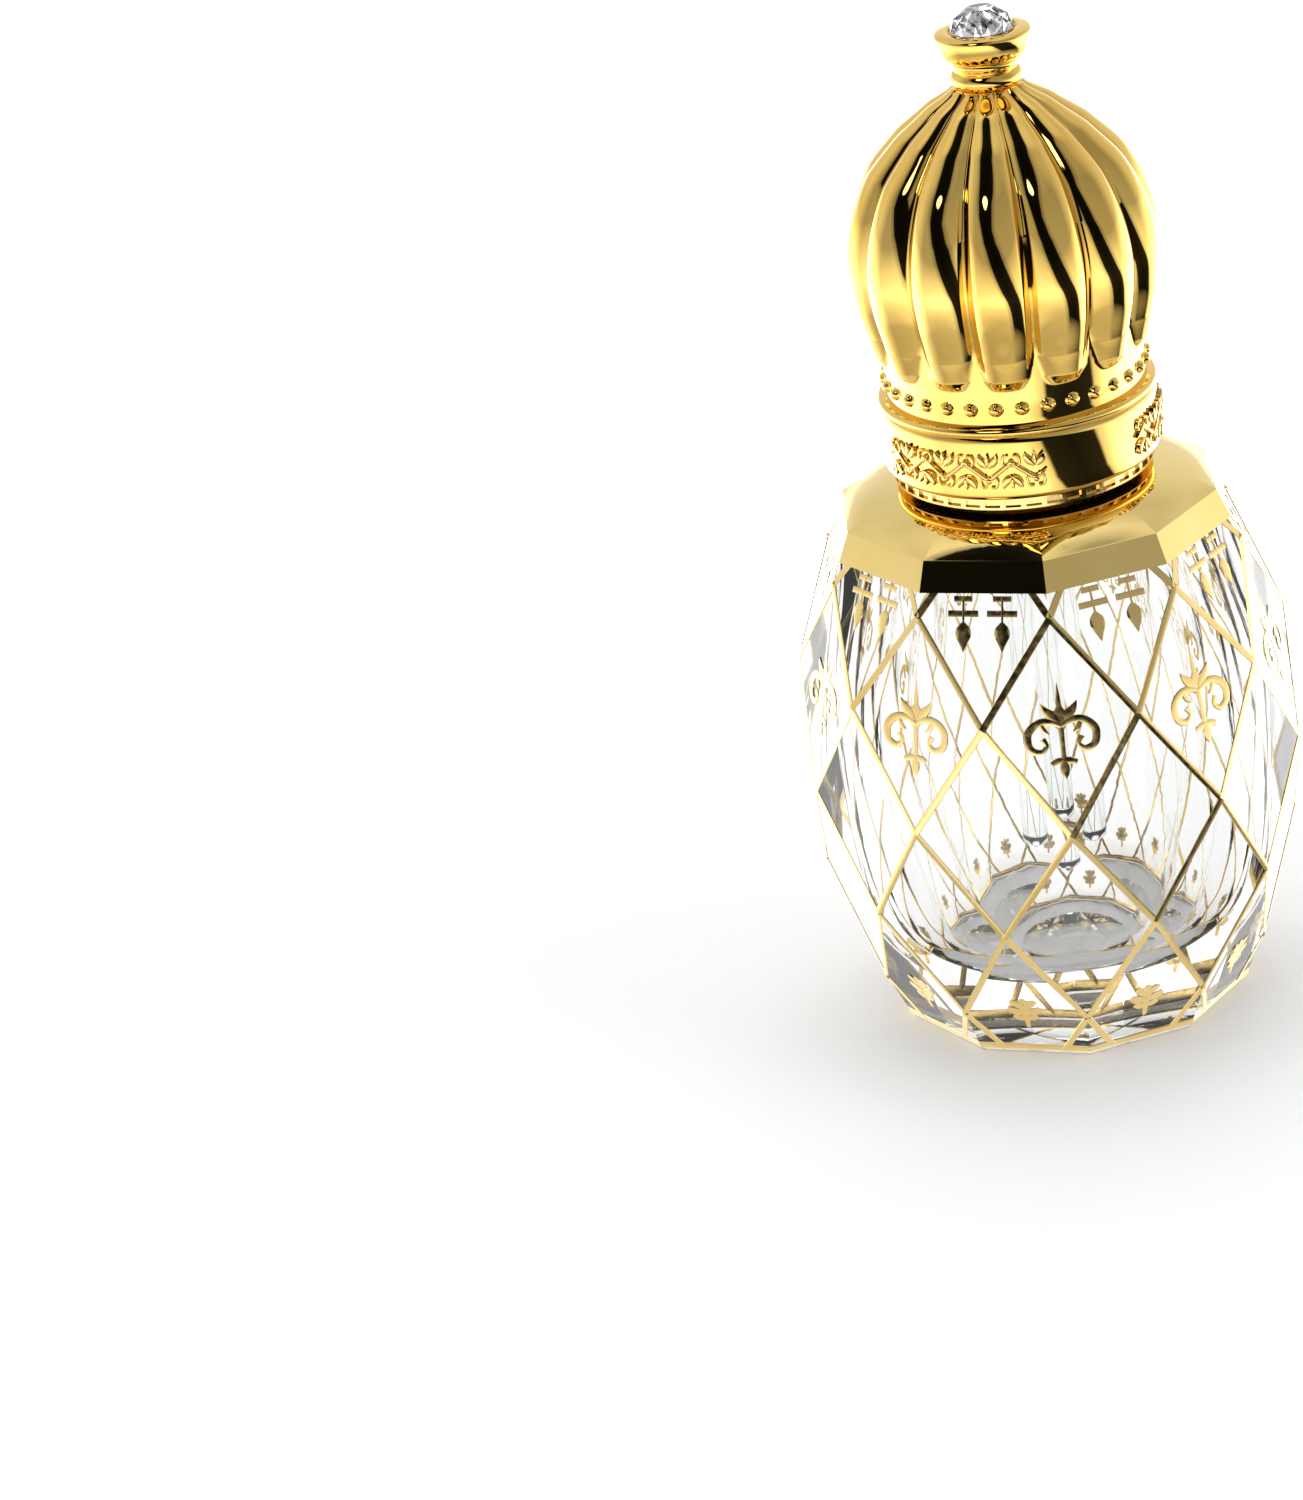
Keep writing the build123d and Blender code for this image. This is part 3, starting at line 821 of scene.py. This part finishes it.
def studio_world():
    """What the gold reflects: pale walls with a bright low belt, a brighter back and a small spot.

    One dark gap leans across the front.
    """
    world = bpy.data.worlds.new("studio")
    bpy.context.scene.world = world
    world.use_nodes = True
    tree = world.node_tree
    place = tree.nodes.new("ShaderNodeTexCoord")
    split = tree.nodes.new("ShaderNodeSeparateXYZ")
    tree.links.new(place.outputs["Generated"], split.inputs["Vector"])
    toward = math_node(tree, "MULTIPLY", split.outputs["Y"], -1)
    turn = math_node(tree, "ARCTAN2", split.outputs["X"], toward)
    rise = math_node(tree, "ARCSINE", split.outputs["Z"])
    lean = math_node(tree, "MULTIPLY", math_node(tree, "MINIMUM", rise, 0.5), -1.6)
    gap_middle = math_node(tree, "ADD", lean, 0.22)
    beside = math_node(tree, "ABSOLUTE", math_node(tree, "SUBTRACT", turn, gap_middle))
    reach = math_node(tree, "MULTIPLY", beside, math_node(tree, "COSINE", rise))
    wall = [(0.0, 0.006), (0.115, 0.01), (0.13, 0.4), (0.2, 0.75)]
    wall += [(0.38, 0.72), (0.7, 0.6), (1.0, 0.7)]
    walls = grey_ramp(tree, math_node(tree, "DIVIDE", reach, pi), wall)
    climb = [(0.0, 0.8), (0.2, 0.9), (0.3, 1.2), (0.38, 3.4)]
    climb += [(0.44, 2.4), (0.54, 0.8), (0.75, 0.62), (1.0, 0.95)]
    climbing = grey_ramp(tree, range_of(tree, rise, 0, 1, -pi / 2, pi / 2), climb)
    depth = range_of(tree, split.outputs["Y"], 0.8, 1.75, -0.25, 0.3)
    level = math_node(tree, "MULTIPLY", math_node(tree, "MULTIPLY", walls, climbing), depth)
    table_glow = range_of(tree, rise, 0.85, 0, -0.9, -0.6)
    toward_spot = tree.nodes.new("ShaderNodeVectorMath")
    toward_spot.operation = "DOT_PRODUCT"
    tree.links.new(place.outputs["Generated"], toward_spot.inputs[0])
    spot_turn, spot_rise = radians(-34), radians(48)
    spot_edge, spot_core = cos(radians(9)), cos(radians(7))
    toward_spot.inputs[1].default_value = around(cos(spot_rise), sin(spot_rise), spot_turn)
    spot = range_of(tree, toward_spot.outputs["Value"], 0, 4, spot_edge, spot_core)
    lit = math_node(tree, "MAXIMUM", math_node(tree, "MAXIMUM", level, table_glow), spot)
    tree.links.new(lit, tree.nodes["Background"].inputs["Strength"])
    tree.nodes["Background"].inputs["Color"].default_value = (1, 1, 1, 1)


def add_light():
    """Two lamps at the sides, one over the back, and the studio round them."""
    add_softbox("right_softbox", 72, 24, 0.6, 0.4, 0.6, 1.4)
    add_softbox("left_softbox", -76, 24, 0.6, 0.4, 0.6, 1.3)
    add_softbox("top_softbox", 180, 72, 0.62, 0.5, 0.5, 1.3)
    studio_world()
    bpy.context.scene.view_settings.view_transform = "Standard"


def add_camera():
    """The bottle is seen from above its shoulder, tilted in the frame, right of and above the middle."""
    target = Vector((0, 0, 0.033))
    azimuth, elevation, roll = radians(-2.48), radians(21.77), radians(-5.72)
    distance = 0.2852
    middle_offset = Vector((0.0839, 0.0530, -1))
    data = bpy.data.cameras.new("camera")
    data.lens = 108
    data.sensor_width = 36
    data.clip_start = 0.01
    camera = bpy.data.objects.new("camera", data)
    bpy.context.scene.collection.objects.link(camera)
    away = Vector((sin(azimuth) * cos(elevation), -cos(azimuth) * cos(elevation), sin(elevation)))
    camera.location = target + away * distance
    facing = (-away).to_track_quat("-Z", "Y") @ Quaternion((0, 0, 1), roll)
    camera.rotation_mode = "QUATERNION"
    off_middle = Vector((0, 0, -1)).rotation_difference(middle_offset)
    camera.rotation_quaternion = facing @ off_middle.inverted()
    bpy.context.scene.camera = camera


add_camera()
add_light()
make_floor()
paint_nodes()
make_lattice()
make_foot_rim()
make_motifs()
make_dome()
make_beads()
make_collar()
make_collar_vine()
make_finial()
